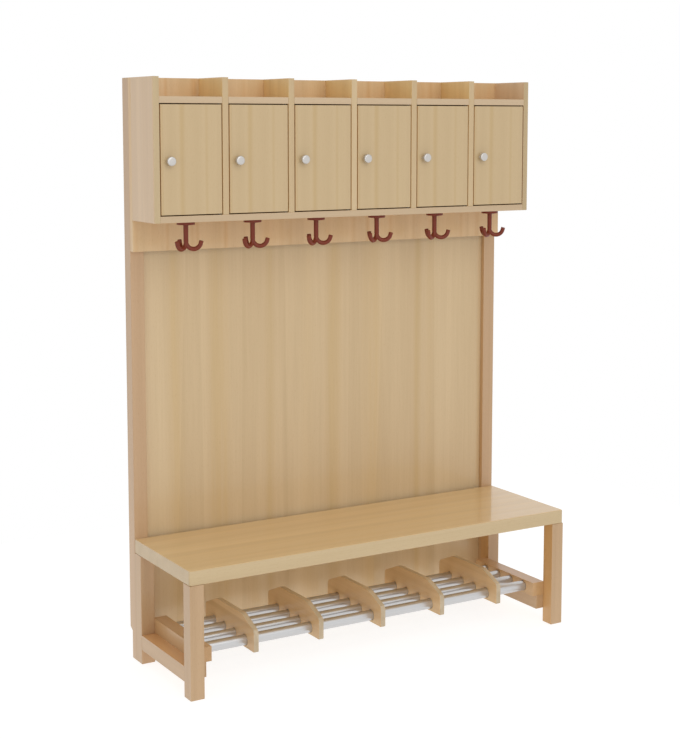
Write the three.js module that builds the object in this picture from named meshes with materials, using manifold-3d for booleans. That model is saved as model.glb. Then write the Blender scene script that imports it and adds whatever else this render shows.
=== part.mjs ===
// Cloakroom unit: six lockers under open bins, triple coat hooks, and a bench with a shoe rack
// Millimetres, +Z up, front towards -Y, origin on the floor at the middle of the footprint

import * as THREE from 'three';
import { mergeVertices } from 'three/addons/utils/BufferGeometryUtils.js';
import Module from 'manifold-3d';

const wasm = await Module();
wasm.setup();

// Whole unit
const lockerCount = 6;
const openingWidth = 185;
const boardThickness = 18;
const unitHeight = 1630;
const unitDepth = 400;
const legWidth = 40;

// Back panel and the skirting notch in the posts
const skirtingDepth = 15;
const skirtingHeight = 79;
const skirtingSlope = 9;
const panelThickness = 10;
const panelFloorGap = 5;
const panelTopGap = 10;
const panelTongue = 8;

// Cabinet
const cabinetDepth = 165;
const openingHeight = 299;
const binDepth = 52;
const apronHeight = 86;
const sideRounding = 4;

// Doors
const doorGap = 3;
const doorThickness = 18;
const pivotInset = 6;

// Pivot rods through the doors
const pivotRadius = 2.5;
const pivotBoardDepth = 8;
const collarRadius = 4.5;

// Knobs
const knobInset = 27.5;
const knobHeight = 146;
const knobRadius = 12.5;
const knobNeckRadius = 5;
const knobFootRadius = 7;
const knobFootThickness = 2;
const knobNeckLength = 6;
const knobHeadThickness = 11;
const knobStudRadius = 2;
const knobStudLength = 12;

// Triple coat hooks
const hookSetback = 123;
const flangeRadius = 25;
const flangeThickness = 8.5;
const castingChamfer = 0.8;
const stemRadius = 6.75;
const prongRadius = 6.2;
const prongBend = 20.3;
const prongSweep = 165;
const prongTipLength = 8;
const hookDrop = 80.5;
const hookScrewRing = 17;
const hookScrewRadius = 1.7;
const hookScrewHeadRadius = 3.5;
const hookScrewHeadHeight = 1.2;
const hookScrewDepth = 12;
const prongsPerHook = 3;

// Bench
const seatHeight = 350;
const seatThickness = 40;
const seatCornerRounding = 8;
const stretcherWidth = 65;
const stretcherHeight = 42;
const stretcherUnderside = 42;
const tenonWidth = 22;
const tenonLength = 20;

// Shoe rack
const rackRailWidth = 40;
const rackRailHeight = 41;
const rackRailBackGap = 68;
const rackRailOverhang = 2;
const thinTubeCount = 3;
const thinTubeRadius = 12;
const thinTubeHeight = 23.5;
const stopTubeRadius = 15;
const stopTubeDrop = 2.5;
const tubeWall = 1.5;
const tubeSeatDepth = 12;
const firstTubeInset = 53;
const stopTubeInset = 51;

// Shoe dividers
const shoeDividerLength = 300;
const shoeDividerHeight = 90;
const shoeDividerThickness = 15;
const shoeDividerEndHeight = 59;
const dividerSlopeLength = 72;
const dividerFillet = 10;
const dividerFootFillet = 3;

// Bolts through the posts
const boltRadius = 3;
const boltHeadRadius = 5.5;
const boltHeadThickness = 4;
const boltRecess = 14;
const boltLegDepth = 25;
const boltBoardDepth = 14;

// Clearance of the fits, and overrun of the cuts
const fitClearance = 0.3;
const overrun = 10;

// Sides on the round pieces
const tubeSides = 16;
const pinSides = 12;
const screwSides = 6;
const knobSides = 16;
const prongSides = 8;
const bendSteps = 7;
const filletSteps = 4;

// Planes that several pieces share
const pitch = openingWidth + boardThickness;
const unitWidth = lockerCount * pitch + boardThickness;
const halfWidth = unitWidth / 2;
const wallPlane = unitDepth / 2;
const seatFront = -unitDepth / 2;
const postFront = wallPlane - legWidth;
const panelBack = wallPlane - skirtingDepth;
const panelFront = panelBack - panelThickness;
const panelTop = unitHeight - panelTopGap;
const boardFront = postFront - boardThickness;
const cabinetFront = postFront - cabinetDepth;
const insideLeg = halfWidth - legWidth;
const insideSide = halfWidth - boardThickness;
const shelfTop = unitHeight - binDepth;
const shelfUnderside = shelfTop - boardThickness;
const lockerFloor = shelfUnderside - openingHeight;
const cabinetUnderside = lockerFloor - boardThickness;
const seatUnderside = seatHeight - seatThickness;
const frontLegBack = seatFront + legWidth;
const backLegFront = postFront - legWidth;
const legX = halfWidth - legWidth / 2;
const stretcherTop = stretcherUnderside + stretcherHeight;
const stretcherMiddle = stretcherUnderside + stretcherHeight / 2;
const insideStretcher = halfWidth - stretcherWidth;
const rackRailTop = stretcherTop + rackRailHeight;
const insideRail = insideLeg - rackRailWidth;
const railBack = wallPlane - rackRailBackGap;
const railFront = frontLegBack - rackRailOverhang;

// Finishes
const frontBeech = 0xc8af8a;
const postBeech = 0xcbb491;
const panelBeech = 0xc1a57f;
const seatBeech = 0xbf9f72;
const rackBeech = 0xa98a65;
const beech = (shade) => new THREE.MeshStandardMaterial({ color: shade, roughness: 0.42, metalness: 0 });
const satinMetal = () => new THREE.MeshStandardMaterial({ color: 0xc9c7c5, roughness: 0.32, metalness: 0.85 });
const zincMetal = () => new THREE.MeshStandardMaterial({ color: 0xb4b5b4, roughness: 0.45, metalness: 0.8 });
const redEnamel = () => new THREE.MeshStandardMaterial({ color: 0x71322b, roughness: 0.38, metalness: 0.1 });
const greyEnamel = () => new THREE.MeshStandardMaterial({ color: 0xd2d2d1, roughness: 0.3, metalness: 0.3 });

function place(parent, name, material, geometry, x = 0, y = 0, z = 0) {
  const mesh = new THREE.Mesh(geometry, material);
  mesh.name = name;
  mesh.position.set(x, y, z);
  parent.add(mesh);
}

// A closed geometry as a solid for cutting and joining
function solidOf(geometry) {
  const bare = geometry.clone();
  bare.deleteAttribute('normal');
  bare.deleteAttribute('uv');
  const merged = mergeVertices(bare);
  return new wasm.Manifold(new wasm.Mesh({
    numProp: 3,
    vertProperties: new Float32Array(merged.attributes.position.array),
    triVerts: new Uint32Array(merged.index.array),
  }));
}

function geometryOf(solid) {
  const mesh = solid.getMesh();
  const geometry = new THREE.BufferGeometry();
  geometry.setAttribute('position', new THREE.BufferAttribute(mesh.vertProperties, mesh.numProp));
  geometry.setIndex(new THREE.BufferAttribute(mesh.triVerts, 1));
  return geometry;
}

function cut(geometry, tools) {
  let solid = solidOf(geometry);
  for (const tool of tools) solid = solid.subtract(solidOf(tool));
  return geometryOf(solid);
}

function join(geometries) {
  let solid = solidOf(geometries[0]);
  for (const other of geometries.slice(1)) solid = solid.add(solidOf(other));
  return geometryOf(solid);
}

// A board between two limits on each axis
function board(xs, ys, zs) {
  const box = new THREE.BoxGeometry(xs[1] - xs[0], ys[1] - ys[0], zs[1] - zs[0]);
  return box.translate((xs[0] + xs[1]) / 2, (ys[0] + ys[1]) / 2, (zs[0] + zs[1]) / 2);
}

// Limits on either side of a middle, and two limits put in order
const about = (middle, width) => [middle - width / 2, middle + width / 2];
const ordered = (one, other) => [Math.min(one, other), Math.max(one, other)];

// A side view in Y and Z, extruded along X about its middle
function sideView(outline, width) {
  const solid = new THREE.ExtrudeGeometry(outline, {
    depth: width,
    bevelEnabled: false,
    curveSegments: filletSteps,
  });
  const along = new THREE.Matrix4().makeBasis(
    new THREE.Vector3(0, 1, 0),
    new THREE.Vector3(0, 0, 1),
    new THREE.Vector3(1, 0, 0),
  );
  return solid.translate(0, 0, -width / 2).applyMatrix4(along);
}

// A turned piece about Z, from pairs of radius and height
function turned(pairs, sides) {
  const profile = pairs.map(([radius, height]) => new THREE.Vector2(radius, height));
  return new THREE.LatheGeometry(profile, sides).rotateX(Math.PI / 2);
}

function rod(radius, length, sides) {
  return turned([[0, 0], [radius, 0], [radius, length], [0, length]], sides);
}

// Corner radius of a hole whose flats clear a pin of this radius
const holeRadius = (radius, sides) => (radius + fitClearance) / Math.cos(Math.PI / sides);

// A hole from its mouth on a face, into the piece by a depth, in the direction given
function hole(radius, sides, depth, mouth, direction) {
  const turn = new THREE.Quaternion().setFromUnitVectors(new THREE.Vector3(0, 0, 1), direction);
  return rod(holeRadius(radius, sides), depth + fitClearance + overrun, sides)
    .translate(0, 0, -overrun)
    .applyQuaternion(turn)
    .translate(...mouth);
}

const rightwards = new THREE.Vector3(1, 0, 0);
const leftwards = new THREE.Vector3(-1, 0, 0);
const backwards = new THREE.Vector3(0, 1, 0);
const frontwards = new THREE.Vector3(0, -1, 0);
const upwards = new THREE.Vector3(0, 0, 1);
const downwards = new THREE.Vector3(0, 0, -1);

const hands = [['left', -1], ['right', 1]];
const lockers = Array.from({ length: lockerCount }, (_, index) => index);
const dividers = lockers.slice(1);
const cellCentre = (index) => (index - (lockerCount - 1) / 2) * pitch;
const dividerCentre = (index) => (index - lockerCount / 2) * pitch;

const group = new THREE.Group();
const cabinet = new THREE.Group();
const bench = new THREE.Group();
group.add(cabinet, bench);

// Bolts that run forward from the backs of the posts, into the bench legs and the cabinet board
const boltSeat = wallPlane - boltRecess;
const boltStart = boltSeat + boltHeadThickness + fitClearance;
const legBoltHeight = (stretcherTop + seatUnderside) / 2;
const boardBoltHeight = (cabinetUnderside - apronHeight + unitHeight) / 2;
function postBolt(depth) {
  const tip = boltStart - postFront + depth;
  return turned([
    [0, 0],
    [boltHeadRadius, 0],
    [boltHeadRadius, boltHeadThickness],
    [boltRadius, boltHeadThickness],
    [boltRadius, tip],
    [0, tip],
  ], pinSides).rotateX(Math.PI / 2);
}
for (const [word, hand] of hands) {
  place(bench, `leg_bolt_${word}`, zincMetal(), postBolt(boltLegDepth), hand * legX, boltStart, legBoltHeight);
  place(cabinet, `board_bolt_${word}`, zincMetal(), postBolt(boltBoardDepth), hand * legX, boltStart, boardBoltHeight);
}

// Posts with a skirting notch, a groove for the panel and counterbored bolt holes
const postOutline = new THREE.Shape([
  new THREE.Vector2(postFront, 0),
  new THREE.Vector2(panelBack, 0),
  new THREE.Vector2(panelBack, skirtingHeight),
  new THREE.Vector2(wallPlane, skirtingHeight + skirtingSlope),
  new THREE.Vector2(wallPlane, unitHeight),
  new THREE.Vector2(postFront, unitHeight),
]);
const postHoles = [legBoltHeight, boardBoltHeight].flatMap((height) => [
  hole(boltHeadRadius, pinSides, boltRecess - fitClearance, [0, wallPlane, height], frontwards),
  hole(boltRadius, pinSides, legWidth, [0, wallPlane, height], frontwards),
]);
for (const [word, hand] of hands) {
  const innerFace = (-hand * legWidth) / 2;
  const groove = board(
    ordered(innerFace - hand * overrun, innerFace + hand * (panelTongue + fitClearance)),
    [panelFront - fitClearance, panelBack + fitClearance],
    [panelFloorGap - fitClearance, panelTop + fitClearance],
  );
  const post = cut(sideView(postOutline, legWidth), [...postHoles, groove]);
  place(group, `post_${word}`, beech(postBeech), post, hand * legX);
}

// Back panel, its edges in the grooves of the posts
const panelReach = insideLeg + panelTongue;
const panel = board([-panelReach, panelReach], [panelFront, panelBack], [panelFloorGap, panelTop]);
place(group, 'back_panel', beech(panelBeech), panel);

// Cabinet back board, whose lower edge shows as the rail above the coats
const backBoard = board(
  [-halfWidth, halfWidth],
  [boardFront, postFront],
  [cabinetUnderside - apronHeight, unitHeight],
);
const boardBoltHoles = hands.map(([, hand]) =>
  hole(boltRadius, pinSides, boltBoardDepth, [hand * legX, postFront, boardBoltHeight], frontwards));
place(cabinet, 'cabinet_back_board', beech(panelBeech), cut(backBoard, boardBoltHoles));

// Cabinet sides, with the outer front edge rounded
for (const [word, hand] of hands) {
  const outer = hand * halfWidth;
  const inner = hand * insideSide;
  const section = new THREE.Shape();
  section.moveTo(inner, boardFront);
  section.lineTo(outer, boardFront);
  section.lineTo(outer, cabinetFront + sideRounding);
  section.quadraticCurveTo(outer, cabinetFront, outer - hand * sideRounding, cabinetFront);
  section.lineTo(inner, cabinetFront);
  section.closePath();
  const side = new THREE.ExtrudeGeometry(section, {
    depth: unitHeight - cabinetUnderside,
    bevelEnabled: false,
    curveSegments: filletSteps,
  });
  place(cabinet, `cabinet_side_${word}`, beech(postBeech), side, 0, 0, cabinetUnderside);
}

// Cabinet bottom, bored for the pivot rods and the hook screws
const pivotX = (index) => cellCentre(index) + openingWidth / 2 - doorGap - pivotInset;
const pivotY = cabinetFront + pivotInset;
const hookY = postFront - hookSetback;
const hookScrewPlaces = Array.from({ length: prongsPerHook }, (_, index) => {
  const angle = (index * 2 * Math.PI) / prongsPerHook - Math.PI / 2;
  return { angle, x: hookScrewRing * Math.cos(angle), y: hookScrewRing * Math.sin(angle) };
});
const hookScrewHoles = lockers.flatMap((index) => hookScrewPlaces.map(({ x, y }) => {
  const mouth = [cellCentre(index) + x, hookY + y, cabinetUnderside];
  return hole(hookScrewRadius, screwSides, hookScrewDepth, mouth, upwards);
}));
const lowerPivotHoles = lockers.map((index) =>
  hole(pivotRadius, pinSides, pivotBoardDepth, [pivotX(index), pivotY, lockerFloor], downwards));
const bottomBoard = board([-insideSide, insideSide], [cabinetFront, boardFront], [cabinetUnderside, lockerFloor]);
place(cabinet, 'cabinet_bottom', beech(frontBeech), cut(bottomBoard, [...hookScrewHoles, ...lowerPivotHoles]));

// Shelf, slotted from the front so that the uprights show through its front edge
const lapFront = cabinetFront + (cabinetDepth - boardThickness) / 2;
const shelfSlots = dividers.map((index) => board(
  about(dividerCentre(index), boardThickness + 2 * fitClearance),
  [cabinetFront - overrun, lapFront],
  [shelfUnderside - overrun, shelfTop + overrun],
));
const upperPivotHoles = lockers.map((index) =>
  hole(pivotRadius, pinSides, pivotBoardDepth, [pivotX(index), pivotY, shelfUnderside], upwards));
const shelfBoard = board([-insideSide, insideSide], [cabinetFront, boardFront], [shelfUnderside, shelfTop]);
place(cabinet, 'cabinet_shelf', beech(frontBeech), cut(shelfBoard, [...shelfSlots, ...upperPivotHoles]));

// Uprights between the lockers, slotted from the back where the shelf passes
const upright = cut(
  board(about(0, boardThickness), [cabinetFront, boardFront], [lockerFloor, unitHeight]),
  [board(
    about(0, boardThickness + 2 * overrun),
    [lapFront - fitClearance, boardFront + overrun],
    [shelfUnderside - fitClearance, shelfTop + fitClearance],
  )],
);
for (const index of dividers) {
  place(cabinet, `locker_divider_${index}`, beech(frontBeech), upright, dividerCentre(index));
}

// Door leaf about its pivot axis, bored through for the rod and part way for the knob stud
const doorWidth = openingWidth - 2 * doorGap;
const doorHeight = openingHeight - 2 * doorGap;
const doorLeft = pivotInset - doorWidth;
const knobX = knobInset - doorGap + doorLeft;
const knobZ = knobHeight - doorGap;
const door = cut(
  board([doorLeft, pivotInset], [-pivotInset, doorThickness - pivotInset], [0, doorHeight]),
  [
    hole(pivotRadius, pinSides, doorHeight, [0, 0, 0], upwards),
    hole(knobStudRadius, screwSides, knobStudLength, [knobX, -pivotInset, knobZ], backwards),
  ],
);

// Pivot rod: its ends turn in the boards, and its collar carries the door
const rodBottom = -doorGap - pivotBoardDepth;
const rodTop = doorHeight + doorGap + pivotBoardDepth;
const pivotRod = turned([
  [0, rodBottom],
  [pivotRadius, rodBottom],
  [pivotRadius, fitClearance - doorGap],
  [collarRadius, fitClearance - doorGap],
  [collarRadius, -fitClearance],
  [pivotRadius, -fitClearance],
  [pivotRadius, rodTop],
  [0, rodTop],
], pinSides);

// Knob: a round button on a waisted neck, with its stud behind
const knobNeckEnd = knobFootThickness + knobNeckLength;
const neckTaper = knobNeckLength / 4;
const buttonShares = [[0.9, 0], [1, 0.3], [0.94, 0.7], [0.6, 0.95]];
const knob = turned([
  [0, -knobStudLength],
  [knobStudRadius, -knobStudLength],
  [knobStudRadius, 0],
  [knobFootRadius, 0],
  [knobFootRadius, knobFootThickness],
  [knobNeckRadius, knobFootThickness + neckTaper],
  [knobNeckRadius, knobNeckEnd - neckTaper],
  ...buttonShares.map(([across, along]) => [knobRadius * across, knobNeckEnd + knobHeadThickness * along]),
  [0, knobNeckEnd + knobHeadThickness],
], knobSides).rotateX(Math.PI / 2);

for (const index of lockers) {
  const hung = new THREE.Group();
  hung.position.set(pivotX(index), pivotY, lockerFloor + doorGap);
  cabinet.add(hung);
  place(hung, `door_${index + 1}`, beech(frontBeech), door);
  place(hung, `door_knob_${index + 1}`, satinMetal(), knob, knobX, -pivotInset, knobZ);
  place(hung, `door_pivot_rod_${index + 1}`, zincMetal(), pivotRod);
}

// Triple hook below its mounting face: flange, stem and three prongs in one casting, with its screws
const bendMiddle = prongRadius + prongBend - hookDrop;
const sweep = THREE.MathUtils.degToRad(prongSweep);

class ProngBend extends THREE.Curve {
  getPoint(share, target = new THREE.Vector3()) {
    const angle = Math.PI + sweep * share;
    return target.set(
      prongBend * (1 + Math.cos(angle)),
      0,
      bendMiddle + prongBend * Math.sin(angle),
    );
  }
}

const prongSection = new THREE.Shape(Array.from({ length: prongSides }, (_, index) => {
  const angle = (index * 2 * Math.PI) / prongSides;
  return new THREE.Vector2(prongRadius * Math.cos(angle), prongRadius * Math.sin(angle));
}));
const bend = new ProngBend();
const prong = join([
  new THREE.ExtrudeGeometry(prongSection, { steps: bendSteps, extrudePath: bend }),
  turned([
    [0, -prongRadius],
    [prongRadius, 0],
    [prongRadius, prongTipLength - castingChamfer],
    [prongRadius - castingChamfer, prongTipLength],
    [0, prongTipLength],
  ], prongSides).rotateY(Math.PI - sweep).translate(...bend.getPoint(1)),
]);
const flange = turned([
  [0, -flangeThickness],
  [flangeRadius - castingChamfer, -flangeThickness],
  [flangeRadius, castingChamfer - flangeThickness],
  [flangeRadius, 0],
  [0, 0],
], tubeSides);
const stemFoot = bendMiddle - stemRadius;
const stem = rod(stemRadius, castingChamfer - flangeThickness - stemFoot, pinSides).translate(0, 0, stemFoot);
const hookScrew = turned([
  [0, -flangeThickness - hookScrewHeadHeight],
  [hookScrewHeadRadius / 2, -flangeThickness - hookScrewHeadHeight],
  [hookScrewHeadRadius, -flangeThickness],
  [hookScrewRadius, hookScrewHeadRadius - hookScrewRadius - flangeThickness],
  [hookScrewRadius, hookScrewDepth],
  [0, hookScrewDepth],
], screwSides);
const hook = join([
  flange,
  stem,
  ...hookScrewPlaces.map(({ angle }) => prong.clone().rotateZ(angle + Math.PI)),
  ...hookScrewPlaces.map(({ x, y }) => hookScrew.clone().translate(x, y, 0)),
]);
for (const index of lockers) {
  place(cabinet, `coat_hook_${index + 1}`, redEnamel(), hook, cellCentre(index), hookY, cabinetUnderside);
}

// Bench seat, with its front corners rounded, mortised underneath for the leg tenons
const legMiddles = [['front', seatFront + legWidth / 2], ['back', postFront - legWidth / 2]];
const mortiseWidth = tenonWidth + 2 * fitClearance;
const mortiseDepth = tenonLength + fitClearance;
const seatOutline = new THREE.Shape();
seatOutline.moveTo(halfWidth, postFront);
seatOutline.lineTo(-halfWidth, postFront);
seatOutline.lineTo(-halfWidth, seatFront + seatCornerRounding);
seatOutline.quadraticCurveTo(-halfWidth, seatFront, seatCornerRounding - halfWidth, seatFront);
seatOutline.lineTo(halfWidth - seatCornerRounding, seatFront);
seatOutline.quadraticCurveTo(halfWidth, seatFront, halfWidth, seatFront + seatCornerRounding);
seatOutline.closePath();
const seat = new THREE.ExtrudeGeometry(seatOutline, {
  depth: seatThickness,
  bevelEnabled: false,
  curveSegments: filletSteps,
}).translate(0, 0, seatUnderside);
const seatMortises = hands.flatMap(([, hand]) => legMiddles.map(([, y]) => board(
  about(hand * legX, mortiseWidth),
  about(y, mortiseWidth),
  [seatUnderside - overrun, seatUnderside + mortiseDepth],
)));
place(bench, 'bench_seat', beech(seatBeech), cut(seat, seatMortises));

// Bench legs, tenoned into the seat and mortised for the stretchers
const legBlank = join([
  board(about(0, legWidth), about(0, legWidth), [0, seatUnderside]),
  board(about(0, tenonWidth), about(0, tenonWidth), [seatUnderside - overrun, seatUnderside + tenonLength]),
]);
const stretcherMortise = (facing) => board(
  about(0, mortiseWidth),
  ordered(facing * (legWidth / 2 - mortiseDepth), facing * (legWidth / 2 + overrun)),
  about(stretcherMiddle, mortiseWidth),
);
const legBoltHole = hole(boltRadius, pinSides, boltLegDepth, [0, legWidth / 2, legBoltHeight], frontwards);
const legShapes = {
  front: cut(legBlank, [stretcherMortise(1)]),
  back: cut(legBlank, [stretcherMortise(-1), legBoltHole]),
};

// Tubes of the rack: three thin ones, and a thick one that stops the shoes
const firstTubeY = railBack - firstTubeInset;
const stopTubeY = railFront + stopTubeInset;
const tubeMiddle = stretcherTop + thinTubeHeight;
const tubes = Array.from({ length: thinTubeCount }, (_, index) => ({
  name: `shoe_tube_${index + 1}`,
  radius: thinTubeRadius,
  y: firstTubeY + ((stopTubeY - firstTubeY) * index) / thinTubeCount,
  z: tubeMiddle,
}));
tubes.push({ name: 'shoe_stop_tube', radius: stopTubeRadius, y: stopTubeY, z: tubeMiddle - stopTubeDrop });

const tubeReach = insideRail + tubeSeatDepth;
for (const { name, radius, y, z } of tubes) {
  const tube = turned([
    [radius - tubeWall, -tubeReach],
    [radius, -tubeReach],
    [radius, tubeReach],
    [radius - tubeWall, tubeReach],
    [radius - tubeWall, -tubeReach],
  ], tubeSides).rotateY(Math.PI / 2);
  place(bench, name, greyEnamel(), tube, 0, y, z);
}

// Legs, stretchers and rack rails on each side
for (const [word, hand] of hands) {
  for (const [end, y] of legMiddles) {
    place(bench, `bench_leg_${end}_${word}`, beech(frontBeech), legShapes[end], hand * legX, y);
  }
  const stretcher = join([
    board(
      ordered(hand * halfWidth, hand * insideStretcher),
      [frontLegBack, backLegFront],
      [stretcherUnderside, stretcherTop],
    ),
    board(
      about(hand * legX, tenonWidth),
      [frontLegBack - tenonLength, backLegFront + tenonLength],
      about(stretcherMiddle, tenonWidth),
    ),
  ]);
  place(bench, `bench_stretcher_${word}`, beech(rackBeech), stretcher);
  const rackRail = board(
    ordered(hand * insideLeg, hand * insideRail),
    [railFront, railBack],
    [stretcherTop, rackRailTop],
  );
  const outwards = hand > 0 ? rightwards : leftwards;
  const tubeSeats = tubes.map(({ radius, y, z }) =>
    hole(radius, tubeSides, tubeSeatDepth, [hand * insideRail, y, z], outwards));
  place(bench, `rack_rail_${word}`, beech(rackBeech), cut(rackRail, tubeSeats));
}

// Shoe dividers: boards threaded on the tubes, with their top edge sloping down to both ends
const [dividerFront, dividerBack] = about((railFront + railBack) / 2, shoeDividerLength);
const dividerTop = stretcherTop + shoeDividerHeight;
const dividerEnd = stretcherTop + shoeDividerEndHeight;
const slopeFront = dividerFront + dividerSlopeLength;
const slopeBack = dividerBack - dividerSlopeLength;
const fall = new THREE.Vector2(dividerSlopeLength, dividerTop - dividerEnd).setLength(dividerFillet);
const dividerOutline = new THREE.Shape();
dividerOutline.moveTo(dividerBack - dividerFootFillet, stretcherTop);
dividerOutline.quadraticCurveTo(dividerBack, stretcherTop, dividerBack, stretcherTop + dividerFootFillet);
dividerOutline.lineTo(dividerBack, dividerEnd - dividerFillet);
dividerOutline.quadraticCurveTo(dividerBack, dividerEnd, dividerBack - fall.x, dividerEnd + fall.y);
dividerOutline.lineTo(slopeBack + fall.x, dividerTop - fall.y);
dividerOutline.quadraticCurveTo(slopeBack, dividerTop, slopeBack - dividerFillet, dividerTop);
dividerOutline.lineTo(slopeFront + dividerFillet, dividerTop);
dividerOutline.quadraticCurveTo(slopeFront, dividerTop, slopeFront - fall.x, dividerTop - fall.y);
dividerOutline.lineTo(dividerFront + fall.x, dividerEnd + fall.y);
dividerOutline.quadraticCurveTo(dividerFront, dividerEnd, dividerFront, dividerEnd - dividerFillet);
dividerOutline.lineTo(dividerFront, stretcherTop + dividerFootFillet);
dividerOutline.quadraticCurveTo(dividerFront, stretcherTop, dividerFront + dividerFootFillet, stretcherTop);
dividerOutline.closePath();
const dividerHoles = tubes.map(({ radius, y, z }) =>
  hole(radius, tubeSides, shoeDividerThickness, [-shoeDividerThickness / 2, y, z], rightwards));
const shoeDivider = cut(sideView(dividerOutline, shoeDividerThickness), dividerHoles);
for (const index of dividers) {
  place(bench, `shoe_divider_${index}`, beech(rackBeech), shoeDivider, dividerCentre(index));
}

export default group;
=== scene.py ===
import math

import bmesh
import bpy
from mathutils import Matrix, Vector


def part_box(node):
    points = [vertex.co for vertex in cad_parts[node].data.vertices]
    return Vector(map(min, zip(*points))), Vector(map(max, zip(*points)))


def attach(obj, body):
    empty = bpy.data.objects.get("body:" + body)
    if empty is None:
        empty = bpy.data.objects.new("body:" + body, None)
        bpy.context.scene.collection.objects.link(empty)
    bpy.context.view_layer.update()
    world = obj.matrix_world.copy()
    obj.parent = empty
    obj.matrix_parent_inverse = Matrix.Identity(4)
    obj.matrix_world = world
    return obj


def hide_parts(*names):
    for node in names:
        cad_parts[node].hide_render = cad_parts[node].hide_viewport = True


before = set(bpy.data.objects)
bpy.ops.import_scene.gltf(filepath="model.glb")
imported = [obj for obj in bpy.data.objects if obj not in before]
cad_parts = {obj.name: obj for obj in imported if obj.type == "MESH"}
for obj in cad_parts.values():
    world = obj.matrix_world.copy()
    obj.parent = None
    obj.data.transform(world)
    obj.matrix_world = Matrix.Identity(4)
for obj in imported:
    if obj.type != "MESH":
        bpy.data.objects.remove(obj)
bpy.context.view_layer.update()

scene = bpy.context.scene

# Studio
# A white room with a large soft box high in front of the unit, two weaker ones to the left and in
# front of it, and a pale floor. The camera stands to the left and looks slightly down.
room = bpy.data.worlds.new("white_room")
room.use_nodes = True
room_nodes = room.node_tree.nodes
room_links = room.node_tree.links
# the wall is seen pure white, while the light that it casts on the unit is weaker
seen_wall = room_nodes.new("ShaderNodeBackground")
seen_wall.inputs["Color"].default_value = (1.0, 1.0, 1.0, 1.0)
seen_wall.inputs["Strength"].default_value = 1.0
room_glow = room_nodes["Background"]
room_glow.inputs["Color"].default_value = (1.0, 0.995, 0.99, 1.0)
room_glow.inputs["Strength"].default_value = 0.6
ray_kind = room_nodes.new("ShaderNodeLightPath")
wall_or_glow = room_nodes.new("ShaderNodeMixShader")
room_links.new(ray_kind.outputs["Is Diffuse Ray"], wall_or_glow.inputs["Fac"])
room_links.new(seen_wall.outputs["Background"], wall_or_glow.inputs[1])
room_links.new(room_glow.outputs["Background"], wall_or_glow.inputs[2])
room_links.new(wall_or_glow.outputs["Shader"], room_nodes["World Output"].inputs["Surface"])
scene.world = room
scene.view_settings.view_transform = "Standard"

lamp_aim = Vector((0.0, 0.0, 0.75))
for lamp_name, place, width, watts, tint in (
    ("soft_box_left", (-4.6, -1.9, 2.0), 2.8, 13.0, (0.97, 0.985, 1.0)),
    ("soft_box_front", (-1.6, -5.2, 1.6), 3.2, 17.0, (1.0, 0.995, 0.985)),
    ("soft_box_high", (-0.2, -3.8, 3.6), 3.0, 40.0, (1.0, 0.99, 0.97)),
):
    lamp_light = bpy.data.lights.new(lamp_name, "AREA")
    lamp_light.shape = "SQUARE"
    lamp_light.size = width
    lamp_light.energy = watts
    lamp_light.color = tint
    lamp = bpy.data.objects.new(lamp_name, lamp_light)
    lamp.location = place
    lamp.rotation_euler = (lamp_aim - lamp.location).to_track_quat("-Z", "Y").to_euler()
    scene.collection.objects.link(lamp)

camera_tilt = 6.2763
camera_turn = 30.7778
camera_data = bpy.data.cameras.new("photo_camera")
camera_data.sensor_width = 36.0
camera_data.lens = 73.581
camera_data.shift_y = -0.11
camera = bpy.data.objects.new("photo_camera", camera_data)
camera.location = (-2.234765, -3.677328, 1.510070)
camera.rotation_euler = (math.radians(90.0 - camera_tilt), 0.0, math.radians(-camera_turn))
scene.collection.objects.link(camera)
scene.camera = camera

floor_reach = (1.9, 1.5)
floor_drop = 0.0006
floor_mesh = bpy.data.meshes.new("studio_floor")
floor_mesh.from_pydata(
    [
        (side * floor_reach[0], end * floor_reach[1], -floor_drop)
        for side, end in ((-1, -1), (1, -1), (1, 1), (-1, 1))
    ],
    [],
    [(0, 1, 2, 3)],
)
floor = bpy.data.objects.new("studio_floor", floor_mesh)
scene.collection.objects.link(floor)
floor_paper = bpy.data.materials.new("floor_paper")
floor_paper.use_nodes = True
floor_shader = floor_paper.node_tree.nodes["Principled BSDF"]
floor_shader.inputs["Base Color"].default_value = (0.3, 0.3, 0.298, 1.0)
floor_shader.inputs["Emission Color"].default_value = (1.0, 1.0, 1.0, 1.0)
floor_shader.inputs["Emission Strength"].default_value = 0.83
floor_shader.inputs["Roughness"].default_value = 0.9
floor_shader.inputs["Specular IOR Level"].default_value = 0.2
floor_mesh.materials.append(floor_paper)


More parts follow.
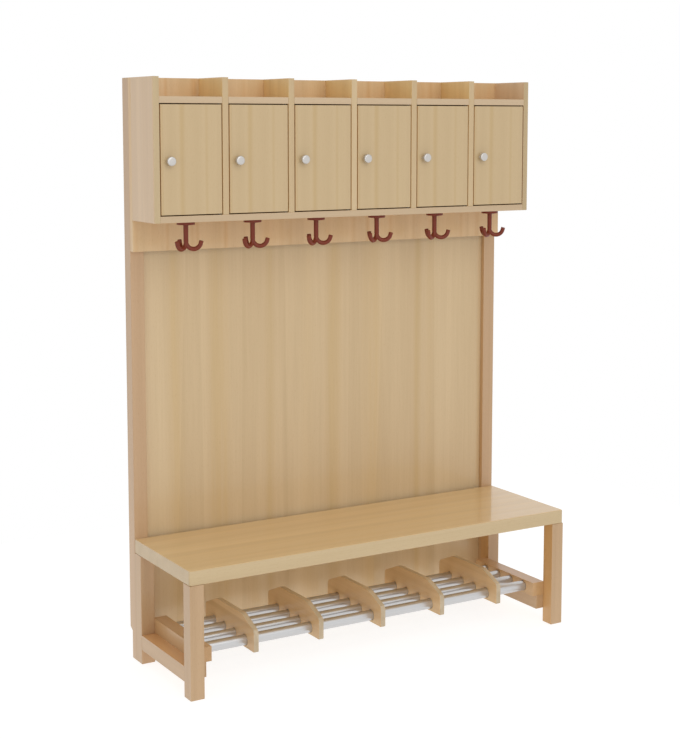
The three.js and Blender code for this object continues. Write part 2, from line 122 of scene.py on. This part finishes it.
# Posts
# Two square uprights of solid beech that carry the whole unit. They are planed, their edges are
# eased with a router, and they are finished with clear satin lacquer.
def beech_finish(name, tone, run, contrast=0.07, leaf=0.12, joint=0.0, hearts=(), repeat=0.0,
                 apart="Y", lipping_and_painted_light_tone=None, gloss=0.38, lacquer=0.3, relief=0.15):
    """Lacquered beech, its fibres along the axis run.

    leaf is the width of one strip, and joint how dark the edges of the strips are. hearts are soft
    streaks of heartwood, each with its middle, half width and strength. The whole figure comes
    again after the width repeat, as in veneers cut from one log. The tone given for the faces that
    look along the axis apart is how far they depart from the tone of the others: a lipping's own
    tone, or painted light and shade where those faces are lit differently from the rest.
    """
    finish = bpy.data.materials.new(name)
    finish.use_nodes = True
    nodes = finish.node_tree.nodes
    links = finish.node_tree.links
    shader = nodes["Principled BSDF"]
    axis = "xyz".index(run)
    where = nodes.new("ShaderNodeTexCoord")
    place = where.outputs["Object"]
    split = nodes.new("ShaderNodeSeparateXYZ")
    links.new(place, split.inputs["Vector"])
    across = split.outputs["X"]
    if repeat:
        wrap = nodes.new("ShaderNodeMath")
        wrap.operation = "WRAP"
        wrap.inputs[1].default_value = repeat
        wrap.inputs[2].default_value = 0.0
        links.new(across, wrap.inputs[0])
        across = wrap.outputs["Value"]
        rejoin = nodes.new("ShaderNodeCombineXYZ")
        links.new(across, rejoin.inputs["X"])
        links.new(split.outputs["Y"], rejoin.inputs["Y"])
        links.new(split.outputs["Z"], rejoin.inputs["Z"])
        place = rejoin.outputs["Vector"]

    def drawn_out(share, offset):
        """The place on the piece, drawn out along the fibres."""
        stretch = nodes.new("ShaderNodeMapping")
        stretch.inputs["Scale"].default_value = [share if i == axis else 1.0 for i in range(3)]
        stretch.inputs["Location"].default_value = (offset, offset * 0.7, offset * 1.3)
        links.new(place, stretch.inputs["Vector"])
        return stretch.outputs["Vector"]

    def spread(value, low, high, start=0.0, stop=1.0):
        """A value from low to high, made to run smoothly from start to stop."""
        ramp = nodes.new("ShaderNodeMapRange")
        ramp.interpolation_type = "SMOOTHSTEP"
        for socket, number in (
            ("From Min", low), ("From Max", high), ("To Min", start), ("To Max", stop)
        ):
            ramp.inputs[socket].default_value = number
        links.new(value, ramp.inputs["Value"])
        return ramp.outputs["Result"]

    def figure(scale, share, detail, low, high, offset):
        """One layer of the grain, from 0 to 1."""
        grain = nodes.new("ShaderNodeTexNoise")
        grain.inputs["Scale"].default_value = scale
        grain.inputs["Detail"].default_value = detail
        grain.inputs["Roughness"].default_value = 0.58
        links.new(drawn_out(share, offset), grain.inputs["Vector"])
        return spread(grain.outputs["Fac"], low, high)

    def combine(kind, one, other):
        """Two values or numbers, added, multiplied or the like."""
        step = nodes.new("ShaderNodeMath")
        step.operation = kind
        for socket, value in zip(step.inputs, (one, other)):
            if isinstance(value, (int, float)):
                socket.default_value = value
            else:
                links.new(value, socket)
        return step.outputs["Value"]

    def weigh(parts):
        """The sum of some values, each with its own weight."""
        total = combine("MULTIPLY", *parts[0])
        for part in parts[1:]:
            total = combine("ADD", total, combine("MULTIPLY", *part))
        return total

    def shift_tone(amount, colour, beneath):
        """The colour beneath, multiplied by another one where the amount is 1."""
        layer = nodes.new("ShaderNodeMix")
        layer.data_type = "RGBA"
        layer.blend_type = "MULTIPLY"
        layer.inputs["B"].default_value = (*colour, 1.0)
        links.new(amount, layer.inputs["Factor"])
        links.new(beneath, layer.inputs["A"])
        return layer.outputs["Result"]

    # strips of slightly different tone, laid side by side
    strip_place = drawn_out(0.012, 4.1)
    strips = nodes.new("ShaderNodeTexVoronoi")
    edges = nodes.new("ShaderNodeTexVoronoi")
    edges.feature = "DISTANCE_TO_EDGE"
    for cells in (strips, edges):
        cells.inputs["Scale"].default_value = 1.0 / leaf
        links.new(strip_place, cells.inputs["Vector"])
    strip_tone = nodes.new("ShaderNodeSeparateColor")
    links.new(strips.outputs["Color"], strip_tone.inputs["Color"])
    joints = spread(edges.outputs["Distance"], 0.0, 0.085, 1.0, 0.0)

    # the grain in them, from broad bands down to single fibres and the flecks of the rays
    bands = figure(scale=1.9 / leaf, share=0.03, detail=1.0, low=0.32, high=0.68, offset=3.1)
    streaks = figure(scale=46.0, share=0.025, detail=4.0, low=0.3, high=0.7, offset=7.7)
    fibres = figure(scale=360.0, share=0.018, detail=3.0, low=0.28, high=0.72, offset=1.9)
    flecks = figure(scale=1050.0, share=0.09, detail=0.0, low=0.68, high=0.78, offset=5.3)
    depth = weigh((
        (strip_tone.outputs["Red"], 0.3), (bands, 0.32), (streaks, 0.24), (fibres, 0.14)))
    tones = nodes.new("ShaderNodeValToRGB")
    swings = (contrast, 1.25 * contrast, 1.7 * contrast)
    for stop, position, side in zip(tones.color_ramp.elements, (0.15, 0.85), (-1.0, 1.0)):
        stop.position = position
        stop.color = (*(level * (1.0 + side * swing) for level, swing in zip(tone, swings)), 1.0)
    links.new(depth, tones.inputs["Fac"])
    wood = tones.outputs["Color"]
    if joint:
        joint_tone = (0.86, 0.7, 0.5)
        shade = combine("MULTIPLY", joints, combine("MULTIPLY", bands, joint))
        wood = shift_tone(shade, joint_tone, wood)
    heart_tone = (0.94, 0.9, 0.8)
    for middle, reach, strength in hearts:
        aside = combine("ABSOLUTE", combine("SUBTRACT", across, middle), 0.0)
        soft_streak = spread(aside, 0.0, reach, strength, 0.0)
        wood = shift_tone(
            combine("MULTIPLY", soft_streak, combine("ADD", streaks, 0.45)), heart_tone, wood)
    fleck_tone = (0.8, 0.7, 0.6)
    wood = shift_tone(combine("MULTIPLY", flecks, 0.3), fleck_tone, wood)
    facing = nodes.new("ShaderNodeSeparateXYZ")
    links.new(where.outputs["Normal"], facing.inputs["Vector"])
    # faces along the axis apart take another tone: a lipping's own tone, or painted light and shade
    # for faces lit differently from the rest
    if lipping_and_painted_light_tone:
        apart_faces = spread(combine("ABSOLUTE", facing.outputs[apart], 0.0), 0.6, 0.8)
        wood = shift_tone(apart_faces, lipping_and_painted_light_tone, wood)

    # sawn ends are a little darker and show fine pores
    sawn_tone = (0.86, 0.8, 0.74)
    sawn = spread(combine("ABSOLUTE", facing.outputs["XYZ"[axis]], 0.0), 0.8, 0.95)
    pores = figure(scale=900.0, share=1.0, detail=1.0, low=0.35, high=0.75, offset=2.2)
    pored = combine("ADD", combine("MULTIPLY", pores, 0.5), 0.35)
    wood = shift_tone(combine("MULTIPLY", sawn, pored), sawn_tone, wood)
    links.new(wood, shader.inputs["Base Color"])

    dullness = combine("ADD", gloss - 0.04, combine("MULTIPLY", streaks, 0.08))
    links.new(dullness, shader.inputs["Roughness"])
    bump = nodes.new("ShaderNodeBump")
    bump.inputs["Strength"].default_value = relief
    bump.inputs["Distance"].default_value = 0.0001
    links.new(combine("SUBTRACT", fibres, flecks), bump.inputs["Height"])
    links.new(bump.outputs["Normal"], shader.inputs["Normal"])
    shader.inputs["Coat Weight"].default_value = lacquer
    shader.inputs["Coat Roughness"].default_value = 0.12
    return finish


def dress(name, finish, radius, segments=2):
    """A board that keeps its CAD shape, with its finish and with its sharp edges eased."""
    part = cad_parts[name]
    part.data.materials.clear()
    part.data.materials.append(finish)
    weld = part.modifiers.new("closed_skin", "WELD")
    weld.merge_threshold = 0.000002
    round_over = part.modifiers.new("eased_edges", "BEVEL")
    round_over.width = radius
    round_over.segments = segments
    round_over.limit_method = "ANGLE"
    round_over.angle_limit = math.radians(42.0)
    round_over.use_clamp_overlap = False
    for face in part.data.polygons:
        face.use_smooth = True
    flats = part.modifiers.new("flat_faces", "WEIGHTED_NORMAL")
    flats.mode = "FACE_AREA"
    flats.weight = 90


post_tone = (0.555, 0.36, 0.2)
post_edge = 0.0012
post_beech = beech_finish("post_beech", post_tone, "z", leaf=0.05)
dress("post_left", post_beech, post_edge)
# painted bounce light: the side faces of the right post are painted more golden, standing in for
# warm light bounced off the wood beside them
post_beech_painted_bounce = beech_finish(
    "post_beech_painted_bounce", post_tone, "z", leaf=0.05, apart="X", lipping_and_painted_light_tone=(1.0, 0.94, 0.8))
dress("post_right", post_beech_painted_bounce, post_edge)


# Back panel
# One tall board faced with beech veneer, whose fibres run upright, with a soft streak of heartwood
# where the leaves of veneer meet. Its edges sit in grooves of the posts.
panel_edge = 0.0006
panel_beech = beech_finish(
    "panel_beech", (0.655, 0.487, 0.281), "z", leaf=0.13,
    hearts=((-0.48, 0.035, 1.0), (-0.345, 0.05, 1.1), (-0.18, 0.025, 0.9), (-0.055, 0.03, 0.4),
            (0.037, 0.04, 1.1), (0.172, 0.05, 1.0), (0.338, 0.02, 0.9), (0.388, 0.03, 0.5)))
dress("back_panel", panel_beech, panel_edge, segments=1)


# Cabinet carcase
# Back board, sides, bottom, shelf and uprights are 18 mm veneered board with solid beech lippings.
# The shelf and the uprights are cross-halved, so the uprights run through the front of the shelf.
locker_count = 6
board_edge = 0.001
lipping_edge = 0.0008
rail_beech = beech_finish("rail_beech", (0.735, 0.52, 0.285), "z", leaf=0.1, joint=0.5)
dress("cabinet_back_board", rail_beech, board_edge)
side_beech = beech_finish(
    "side_beech", (0.70, 0.495, 0.30), "z", leaf=0.09, lipping_and_painted_light_tone=(0.80, 0.85, 0.78))
for hand in ("left", "right"):
    dress(f"cabinet_side_{hand}", side_beech, board_edge)
# painted bounce light: the top and bottom faces of the bottom and the shelf, seen in the door gaps,
# are painted redder and less blue, standing in for warm light bounced about inside the gaps
lipping_beech_painted_gap_bounce = beech_finish(
    "lipping_beech_painted_gap_bounce", (0.61, 0.45, 0.28), "x", leaf=0.1, apart="Z", lipping_and_painted_light_tone=(1.1, 0.93, 0.7))
for name in ("cabinet_bottom", "cabinet_shelf"):
    dress(name, lipping_beech_painted_gap_bounce, lipping_edge)
# painted bounce light: the uprights are toned brighter and more orange, standing in for warm light
# bounced about inside the bins, and their front faces are toned back towards the others
upright_beech_painted_bounce = beech_finish(
    "upright_beech_painted_bounce", (0.79, 0.55, 0.245), "z", leaf=0.08, lipping_and_painted_light_tone=(0.8, 0.85, 1.08))
for number in range(1, locker_count):
    dress(f"locker_divider_{number}", upright_beech_painted_bounce, lipping_edge)


# Doors
# Flat leaves of veneered board, hung inside the openings with a 3 mm gap all round. Their veneers
# are cut from one log, so the same streaks come again on each leaf, one door pitch further on.
# Each turns on a dark steel rod near its right edge.
def metal_finish(name, tones, dullness, metallic, cloud_scale, detail=2.0,
                 drawn=(1.0, 1.0, 1.0), peel_scale=0.0):
    """Metal or enamel whose tone and roughness waver together in fine clouds.

    tones are its darkest and lightest colour, and dullness its least and greatest roughness. drawn
    is the share of the clouds' size kept along each axis. peel_scale sets a fine orange peel.
    """
    finish = bpy.data.materials.new(name)
    finish.use_nodes = True
    nodes = finish.node_tree.nodes
    links = finish.node_tree.links
    shader = nodes["Principled BSDF"]
    shader.inputs["Metallic"].default_value = metallic
    place = nodes.new("ShaderNodeTexCoord")
    stretch = nodes.new("ShaderNodeMapping")
    stretch.inputs["Scale"].default_value = drawn
    links.new(place.outputs["Object"], stretch.inputs["Vector"])

    def clouds(scale, detail):
        noise = nodes.new("ShaderNodeTexNoise")
        noise.inputs["Scale"].default_value = scale
        noise.inputs["Detail"].default_value = detail
        links.new(stretch.outputs["Vector"], noise.inputs["Vector"])
        return noise.outputs["Fac"]

    waver = clouds(cloud_scale, detail)
    shades = nodes.new("ShaderNodeValToRGB")
    for stop, tone in zip(shades.color_ramp.elements, tones):
        stop.color = (*tone, 1.0)
    links.new(waver, shades.inputs["Fac"])
    links.new(shades.outputs["Color"], shader.inputs["Base Color"])
    dull = nodes.new("ShaderNodeMapRange")
    dull.inputs["To Min"].default_value, dull.inputs["To Max"].default_value = dullness
    links.new(waver, dull.inputs["Value"])
    links.new(dull.outputs["Result"], shader.inputs["Roughness"])
    if peel_scale:
        peel = nodes.new("ShaderNodeBump")
        peel.inputs["Strength"].default_value = 0.15
        peel.inputs["Distance"].default_value = 0.0002
        links.new(clouds(peel_scale, 2.0), peel.inputs["Height"])
        links.new(peel.outputs["Normal"], shader.inputs["Normal"])
    return finish


door_pitch = 0.203
door_edge = 0.0009
rod_edge = 0.0002
# painted bounce light: the side edges of the doors, seen in the gaps, are painted redder and less
# blue, standing in for warm light bounced about inside the gaps
door_beech_painted_gap_bounce = beech_finish(
    "door_beech_painted_gap_bounce", (0.61, 0.45, 0.25), "z", contrast=0.045, leaf=0.12, repeat=door_pitch,
    hearts=((0.0745, 0.012, 1.0), (0.146, 0.007, 0.5), (0.016, 0.006, 0.6)),
    apart="X", lipping_and_painted_light_tone=(1.1, 0.93, 0.7))
dark_steel = metal_finish(
    "dark_steel", ((0.06, 0.055, 0.05), (0.1, 0.09, 0.08)), (0.3, 0.46), 1.0, 420.0, 3.0)
for number in range(1, locker_count + 1):
    dress(f"door_{number}", door_beech_painted_gap_bounce, door_edge)
    dress(f"door_pivot_rod_{number}", dark_steel, rod_edge, segments=1)


# Knobs
# Turned metal buttons, satin plated: a small foot, a hollow neck and a thick round head with a
# rounded edge. Each is screwed to its door through the neck.
def around(sides):
    """The angles of equal steps round a circle."""
    return [2.0 * math.pi * step / sides for step in range(sides)]


def join_rings(work, rings):
    """Faces from each ring of points to the next; a ring of one point closes an end."""
    for lower, upper in zip(rings, rings[1:]):
        sides = max(len(lower), len(upper))
        for step in range(sides):
            after = (step + 1) % sides
            if len(lower) == 1:
                work.faces.new((lower[0], upper[after], upper[step]))
            elif len(upper) == 1:
                work.faces.new((lower[step], lower[after], upper[0]))
            else:
                work.faces.new((lower[step], lower[after], upper[after], upper[step]))


def smooth_skin(work, name):
    """The finished mesh of a round piece, smooth but for its sharp edges."""
    bmesh.ops.recalc_face_normals(work, faces=work.faces)
    skin = bpy.data.meshes.new(name)
    work.to_mesh(skin)
    work.free()
    for face in skin.polygons:
        face.use_smooth = True
    skin.set_sharp_from_angle(angle=math.radians(38.0))
    return skin


def turned_mesh(name, outline, sides):
    """A closed skin turned about Z, from pairs of radius and height that start and end on it."""
    work = bmesh.new()
    rings = []
    for radius, height in outline:
        if radius == 0.0:
            rings.append([work.verts.new((0.0, 0.0, height))])
        else:
            rings.append([
                work.verts.new((radius * math.cos(turn), radius * math.sin(turn), height))
                for turn in around(sides)
            ])
    join_rings(work, rings)
    return smooth_skin(work, name)


def arc(centre, radius, start, end, steps):
    """Points on an arc in the plane of radius and height; angles in degrees."""
    turns = [math.radians(start + (end - start) * step / steps) for step in range(steps + 1)]
    return [
        (centre[0] + radius * math.cos(turn), centre[1] + radius * math.sin(turn))
        for turn in turns
    ]


knob_length = 0.019
knob_sides = 48
foot_radius = 0.0068
foot_rim_middle, foot_rim_radius = (0.0064, 0.0006), 0.0006
neck_middle, neck_hollow = (0.0079, 0.0048), 0.003
head_underside = (0.0098, 0.0082)
lower_rim_middle, lower_rim_radius = (0.0102, 0.0105), 0.0023
upper_rim_middle, upper_rim_radius = (0.0091, 0.0155), 0.0034
cap_edge, cap_crown = (0.0065, 0.0189), (0.003, 0.01898)
knob_outline = [
    (0.0, 0.0),
    (foot_radius, 0.0),
    *arc(foot_rim_middle, foot_rim_radius, -40.0, 80.0, 4),
    *arc(neck_middle, neck_hollow, 232.0, 128.0, 10),
    head_underside,
    *arc(lower_rim_middle, lower_rim_radius, -80.0, 0.0, 6),
    *arc(upper_rim_middle, upper_rim_radius, 5.0, 74.0, 8),
    cap_edge,
    cap_crown,
    (0.0, knob_length),
]
satin_plate = metal_finish(
    "satin_plate", ((0.54, 0.52, 0.495), (0.64, 0.615, 0.59)), (0.26, 0.38), 0.75, 900.0)
knob_skin = turned_mesh("knob_skin", knob_outline, knob_sides)
knob_skin.materials.append(satin_plate)
for number in range(1, locker_count + 1):
    low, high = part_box(f"door_knob_{number}")
    door_low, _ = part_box(f"door_{number}")
    knob = bpy.data.objects.new(f"turned_knob_{number}", knob_skin)
    knob.location = ((low.x + high.x) / 2.0, door_low.y, (low.z + high.z) / 2.0)
    knob.rotation_euler = (math.radians(90.0), 0.0, 0.0)
    scene.collection.objects.link(knob)
    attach(knob, f"door_leaf_{number}")
    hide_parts(f"door_knob_{number}")


# Coat hooks
# Cast metal, coated dark red. A round flange is screwed under the cabinet, and three prongs curl up
# from the foot of its stem: one towards the back and two towards the front corners.
hook_setback = 0.123
hook_drop = 0.0805
flange_radius = 0.025
flange_thickness = 0.0085
flange_edge = 0.001
stem_radius = 0.00675
fillet_reach = 0.0024
fillet_drop = 0.004
prong_radius = 0.0062
prong_bend = 0.0203
prong_sweep = math.radians(165.0)
prong_tip = 0.008
tip_edge = 0.001
prong_sides = 20
prong_steps = 22
bend_middle = prong_radius + prong_bend - hook_drop


def prong_skin(work, heading):
    """One prong: a round bar bent through almost half a turn, with a straight, square-cut tip."""
    outward = Vector((math.cos(heading), math.sin(heading), 0.0))
    sideways = Vector((-math.sin(heading), math.cos(heading), 0.0))
    upward = Vector((0.0, 0.0, 1.0))
    rings = []

    def ring(middle, along, radius):
        across = along.cross(sideways).normalized()
        rings.append([
            work.verts.new(middle + radius * (math.cos(turn) * across + math.sin(turn) * sideways))
            for turn in around(prong_sides)
        ])

    for step in range(prong_steps + 1):
        angle = math.pi + prong_sweep * step / prong_steps
        middle = outward * prong_bend * (1.0 + math.cos(angle))
        middle += upward * (bend_middle + prong_bend * math.sin(angle))
        along = outward * -math.sin(angle) + upward * math.cos(angle)
        ring(middle, along, prong_radius)
    for back in (1.0, 0.45, 0.12, 0.0):
        shrink = tip_edge * (1.0 - math.sqrt(1.0 - (1.0 - back) ** 2))
        ring(middle + along * (prong_tip - tip_edge * back), along, prong_radius - shrink)
    top = work.verts.new(middle + along * prong_tip)
    root = work.verts.new(upward * bend_middle)
    join_rings(work, [[root], *rings, [top]])


casting_outline = [
    (0.0, bend_middle - stem_radius * 0.9),
    (stem_radius * 0.7, bend_middle - stem_radius * 0.75),
    (stem_radius, bend_middle),
    (stem_radius, -flange_thickness - fillet_drop),
    (stem_radius + fillet_reach * 0.25, -flange_thickness - fillet_drop * 0.45),
    (stem_radius + fillet_reach, -flange_thickness),
    (flange_radius - flange_edge, -flange_thickness),
    (flange_radius - flange_edge * 0.3, -flange_thickness + flange_edge * 0.3),
    (flange_radius, -flange_thickness + flange_edge),
    (flange_radius, 0.0),
    (0.0, 0.0),
]
casting_sides = 48
casting = bmesh.new()
casting.from_mesh(turned_mesh("hook_body", casting_outline, casting_sides))
first_prong = 90.0
third_turn = 120.0
for third in range(3):
    prong_skin(casting, math.radians(first_prong + third_turn * third))
bmesh.ops.recalc_face_normals(casting, faces=casting.faces)
rough_casting = bpy.data.meshes.new("rough_casting")
casting.to_mesh(rough_casting)
casting.free()

# the stem and the prongs are fused into one skin, whose corners are then softened
mould = bpy.data.objects.new("hook_mould", rough_casting)
scene.collection.objects.link(mould)
fuse = mould.modifiers.new("fused", "REMESH")
fuse.mode = "VOXEL"
fuse.voxel_size = 0.0008
settle = mould.modifiers.new("cast_corners", "SMOOTH")
settle.factor = 0.5
settle.iterations = 4
thin = mould.modifiers.new("thinned", "DECIMATE")
thin.ratio = 0.22
bpy.context.view_layer.update()
settled_mould = mould.evaluated_get(bpy.context.evaluated_depsgraph_get())
hook_skin = bpy.data.meshes.new_from_object(settled_mould)
hook_skin.name = "hook_skin"
bpy.data.objects.remove(mould)
for face in hook_skin.polygons:
    face.use_smooth = True
red_enamel = metal_finish(
    "red_enamel", ((0.17, 0.029, 0.0135), (0.225, 0.041, 0.0175)), (0.3, 0.42), 0.0, 60.0,
    peel_scale=520.0)
red_enamel.node_tree.nodes["Principled BSDF"].inputs["Specular IOR Level"].default_value = 0.28
hook_skin.materials.clear()
hook_skin.materials.append(red_enamel)

# the screws of the flange sit between the prongs
first_screw = first_prong + 1.5 * third_turn
screw_circle = 0.017
screw_radius = 0.0035
screw_height = 0.0012
screw_root = 0.0004
screw_flat = 0.0012
screw_slope = (0.0024, -0.00095)
screw_sides = 24
screw_outline = [
    (0.0, -screw_height), (screw_flat, -screw_height), screw_slope, (screw_radius, 0.0),
    (0.0, screw_root),
]
zinc_plate = metal_finish(
    "zinc_plate", ((0.3, 0.3, 0.295), (0.44, 0.44, 0.43)), (0.3, 0.46), 1.0, 420.0, 3.0)
screw_skin = turned_mesh("hook_screw_skin", screw_outline, screw_sides)
screw_skin.materials.append(zinc_plate)

post_low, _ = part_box("post_left")
stem_y = post_low.y - hook_setback
under_cabinet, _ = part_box("cabinet_bottom")
for number in range(1, locker_count + 1):
    low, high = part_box(f"coat_hook_{number}")
    stem_x = (low.x + high.x) / 2.0
    hook = bpy.data.objects.new(f"hook_casting_{number}", hook_skin)
    hook.location = (stem_x, stem_y, under_cabinet.z)
    scene.collection.objects.link(hook)
    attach(hook, "frame")
    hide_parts(f"coat_hook_{number}")
    for third in range(3):
        heading = math.radians(first_screw + third_turn * third)
        screw = bpy.data.objects.new(f"hook_screw_{number}_{third + 1}", screw_skin)
        screw.location = (
            stem_x + screw_circle * math.cos(heading),
            stem_y + screw_circle * math.sin(heading),
            under_cabinet.z - flange_thickness,
        )
        scene.collection.objects.link(screw)
        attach(screw, "frame")


# Bench
# A thick seat board on four square legs tenoned into it, with a wide low stretcher tenoned between
# the legs on each side. All of it is solid beech. The seat is rubbed down and lacquered to a higher
# gloss, and its edges are well rounded.
# painted light: the faces of the seat that look up and down are painted lighter and paler than its
# edges, standing in for the light that falls on its top
seat_beech = beech_finish(
    "seat_beech", (0.58, 0.433, 0.237), "x", contrast=0.06, leaf=0.07,
    apart="Z", lipping_and_painted_light_tone=(1.32, 1.23, 1.09), gloss=0.42, lacquer=0.6, relief=0.05)
seat_beech.node_tree.nodes["Principled BSDF"].inputs["Coat Roughness"].default_value = 0.06
seat_edge = 0.003
dress("bench_seat", seat_beech, seat_edge, segments=4)
leg_tone = (0.52, 0.34, 0.185)
leg_edge = 0.0013
stretcher_edge = 0.0012
leg_beech = beech_finish("leg_beech", leg_tone, "z", leaf=0.05)
# painted bounce light: the side faces of the right legs are painted more golden, standing in for
# warm light bounced off the wood of the rack
leg_beech_painted_bounce = beech_finish(
    "leg_beech_painted_bounce", leg_tone, "z", leaf=0.05, apart="X", lipping_and_painted_light_tone=(1.16, 1.04, 0.77))
for end in ("front", "back"):
    dress(f"bench_leg_{end}_left", leg_beech, leg_edge)
    dress(f"bench_leg_{end}_right", leg_beech_painted_bounce, leg_edge)
# painted bounce light: the top and bottom faces of the stretchers are painted lighter and more
# orange, standing in for warm light bounced under the seat
stretcher_beech_painted_bounce = beech_finish(
    "stretcher_beech_painted_bounce", (0.52, 0.34, 0.183), "y", leaf=0.05, apart="Z", lipping_and_painted_light_tone=(1.36, 1.2, 1.0))
for hand in ("left", "right"):
    dress(f"bench_stretcher_{hand}", stretcher_beech_painted_bounce, stretcher_edge)


# Shoe rack
# Two beech rails stand on the stretchers and hold the ends of four tubes in blind holes. The shoe
# dividers are boards threaded on the tubes, with their top edge sawn to a slope towards both ends.
rail_edge = 0.0009
divider_edge = 0.0008
# painted light: the top and bottom faces of the rails are painted lighter and paler, standing in
# for the light that falls on their tops
rack_beech = beech_finish(
    "rack_beech", (0.56, 0.348, 0.162), "y", leaf=0.05, apart="Z", lipping_and_painted_light_tone=(1.07, 1.13, 1.33))
for hand in ("left", "right"):
    dress(f"rack_rail_{hand}", rack_beech, rail_edge)
# painted bounce light: the side faces of the shoe dividers are painted redder and less blue,
# standing in for warm light bounced between the wooden parts of the rack
divider_beech_painted_bounce = beech_finish(
    "divider_beech_painted_bounce", (0.55, 0.445, 0.3), "y", contrast=0.11, leaf=0.06,
    apart="X", lipping_and_painted_light_tone=(1.16, 0.95, 0.69))
for number in range(1, locker_count):
    dress(f"shoe_divider_{number}", divider_beech_painted_bounce, divider_edge)

tube_wall = 0.0015
tube_sides = 48
grey_enamel = metal_finish(
    "grey_enamel", ((0.54, 0.545, 0.555), (0.63, 0.63, 0.635)), (0.25, 0.34), 0.85, 700.0, 3.0,
    drawn=(0.03, 1.0, 1.0))
for tube_name in ("shoe_tube_1", "shoe_tube_2", "shoe_tube_3", "shoe_stop_tube"):
    low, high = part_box(tube_name)
    outer = (high.z - low.z) / 2.0
    inner = outer - tube_wall
    half = (high.x - low.x) / 2.0
    drawn_tube = bmesh.new()
    rings = [
        [
            drawn_tube.verts.new((x, radius * math.cos(turn), radius * math.sin(turn)))
            for turn in around(tube_sides)
        ]
        for x, radius in ((-half, inner), (-half, outer), (half, outer), (half, inner))
    ]
    join_rings(drawn_tube, rings + rings[:1])
    tube_skin = smooth_skin(drawn_tube, f"{tube_name}_skin")
    tube_skin.materials.append(grey_enamel)
    tube = bpy.data.objects.new(f"drawn_{tube_name}", tube_skin)
    tube.location = (low + high) / 2.0
    scene.collection.objects.link(tube)
    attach(tube, "frame")
    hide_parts(tube_name)


# Bolts
# Zinc plated bolts with a socket head, sunk in the backs of the posts. Two hold the back legs of
# the bench, and two the back board of the cabinet.
bolt_edge = 0.0004
for bolt_name in ("leg_bolt_left", "leg_bolt_right", "board_bolt_left", "board_bolt_right"):
    dress(bolt_name, zinc_plate, bolt_edge)
